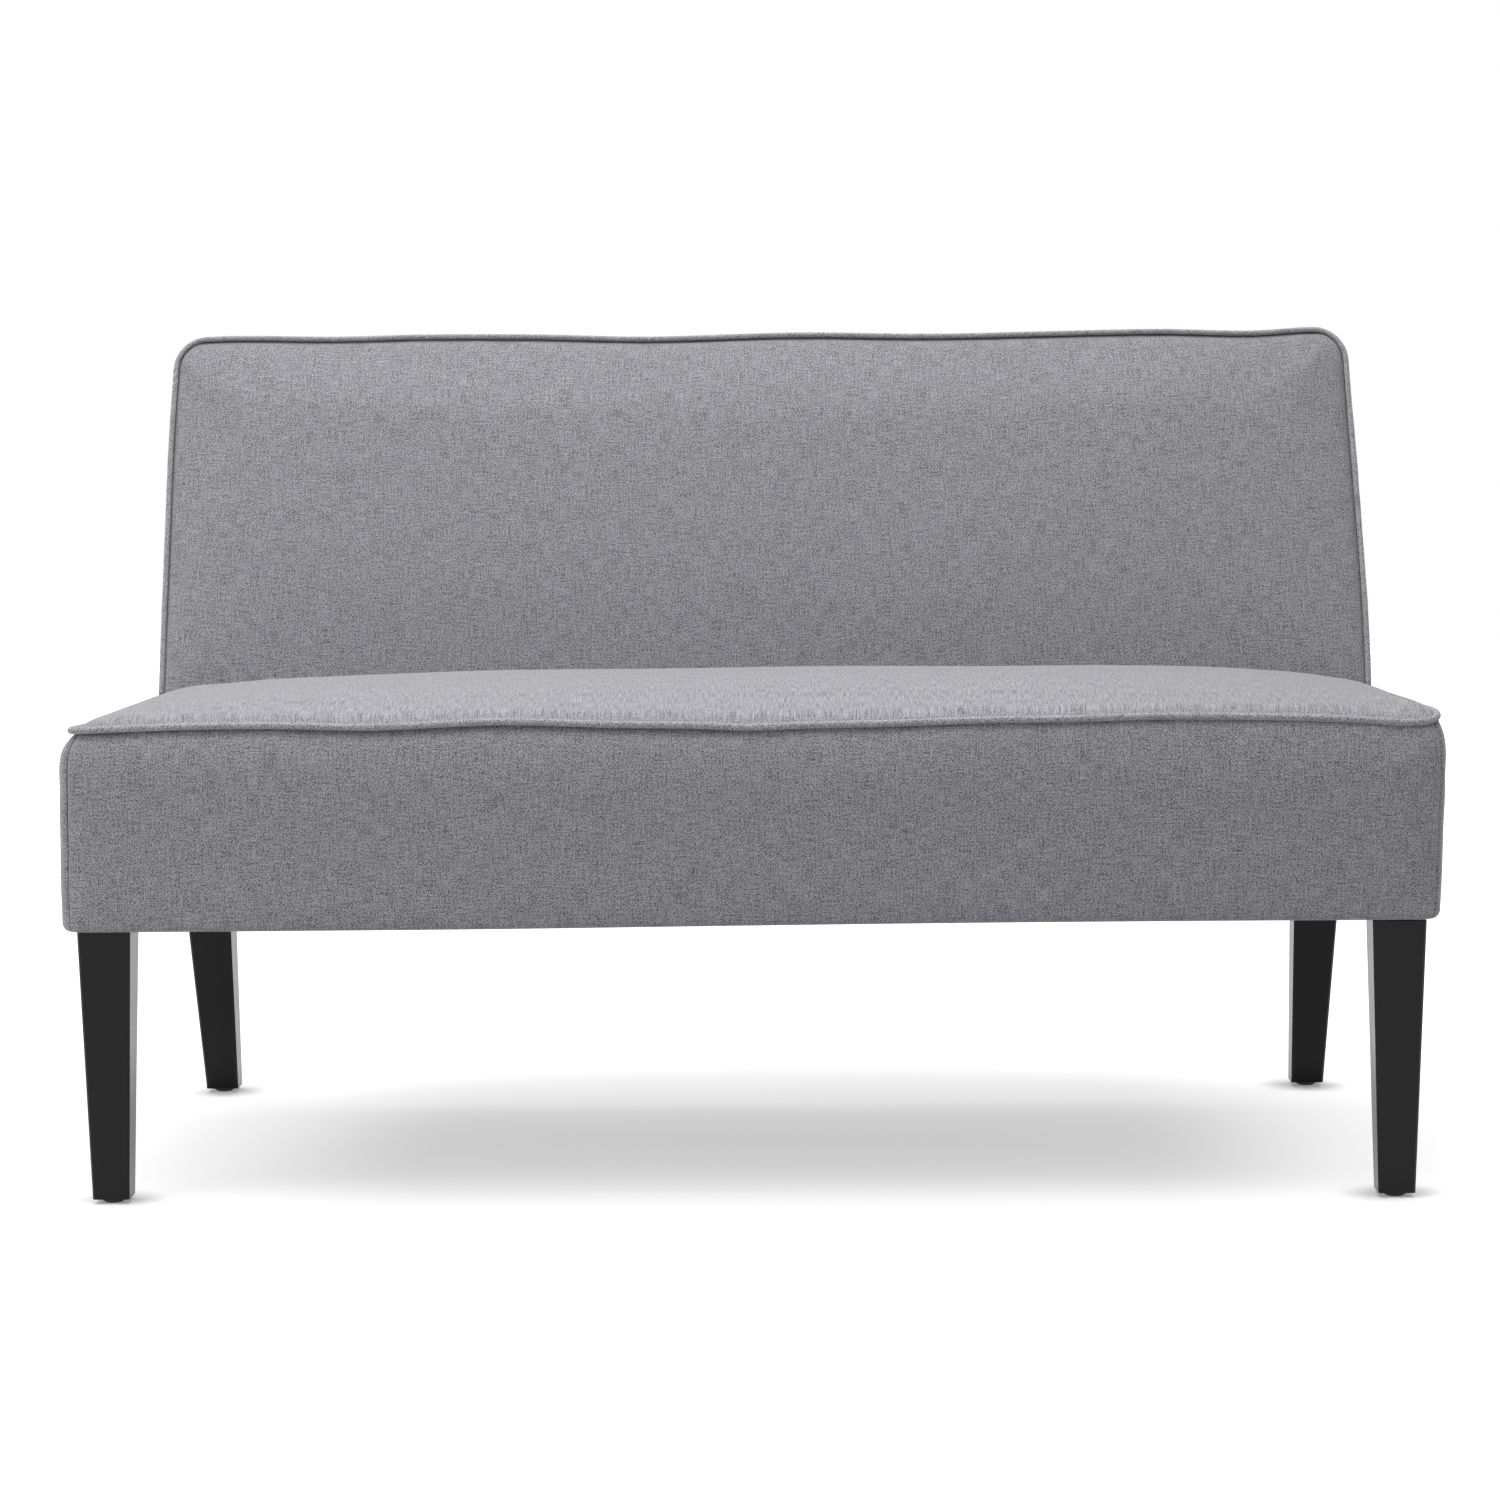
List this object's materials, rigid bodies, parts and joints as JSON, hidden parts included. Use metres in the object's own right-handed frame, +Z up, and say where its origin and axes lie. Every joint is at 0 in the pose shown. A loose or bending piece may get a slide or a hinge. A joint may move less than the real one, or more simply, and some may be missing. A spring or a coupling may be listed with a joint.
{
  "type": "loveseat",
  "caption": "Armless upholstered loveseat with a padded box seat, a raked padded back, piped edges and tapered square legs.",
  "frame": {"origin": "on the floor at the middle of the part's width and depth", "axes": "+Z up, the front faces -Y, +X to the right as seen from the front and along the width"},
  "size_m": [1.3, 0.741, 0.834],
  "materials": {
    "cover_fabric": "woven grey heather upholstery cloth",
    "piping_fabric": "piping covered in the same grey cloth",
    "leg_wood": "solid wood, black satin lacquer",
    "glide_plastic": "black plastic glide",
    "frame_wood": "unfinished softwood frame, hidden",
    "hardware_steel": "zinc-plated steel, hidden",
    "foam": "polyurethane foam, hidden",
    "wadding": "polyester wadding, hidden",
    "felt": "pressed felt, hidden",
    "webbing": "elastic webbing, hidden",
    "liner_card": "stiff card, hidden",
    "dust_cloth": "black spun-bonded dust cover"
  },
  "bodies": {
    "root": {"leg_front_right": "leg_wood", "leg_front_left": "leg_wood", "leg_rear_right": "leg_wood", "leg_rear_left": "leg_wood", "leg_glides": "glide_plastic", "seat_front_rail": "frame_wood", "seat_rear_rail": "frame_wood", "seat_side_rail_right": "frame_wood", "seat_side_rail_left": "frame_wood", "seat_center_rail": "frame_wood", "corner_blocks": "frame_wood", "seat_front_strip": "frame_wood", "seat_rear_board": "frame_wood", "back_post_right": "frame_wood", "back_post_left": "frame_wood", "back_top_rail": "frame_wood", "back_lower_rail": "frame_wood", "back_upright": "frame_wood", "seat_springs": "hardware_steel", "spring_clips": "hardware_steel", "spring_tie_wires": "hardware_steel", "leg_bolts": "hardware_steel", "back_screws": "hardware_steel", "seat_front_band": "cover_fabric", "seat_rear_band": "cover_fabric", "seat_side_band_right": "cover_fabric", "seat_side_band_left": "cover_fabric", "seat_top_cover": "cover_fabric", "back_front_panel": "cover_fabric", "back_boxing": "cover_fabric", "back_rear_panel": "cover_fabric", "seat_welt": "piping_fabric", "back_welt": "piping_fabric", "seat_front_wadding": "wadding", "seat_rear_wadding": "wadding", "seat_side_wadding_right": "wadding", "seat_side_wadding_left": "wadding", "back_top_wadding": "wadding", "back_side_wadding_right": "wadding", "back_side_wadding_left": "wadding", "seat_foam": "foam", "back_foam": "foam", "seat_felt": "felt", "dust_cover": "dust_cloth", "back_webbing": "webbing", "back_liner": "liner_card"}
  },
  "joints": []
}
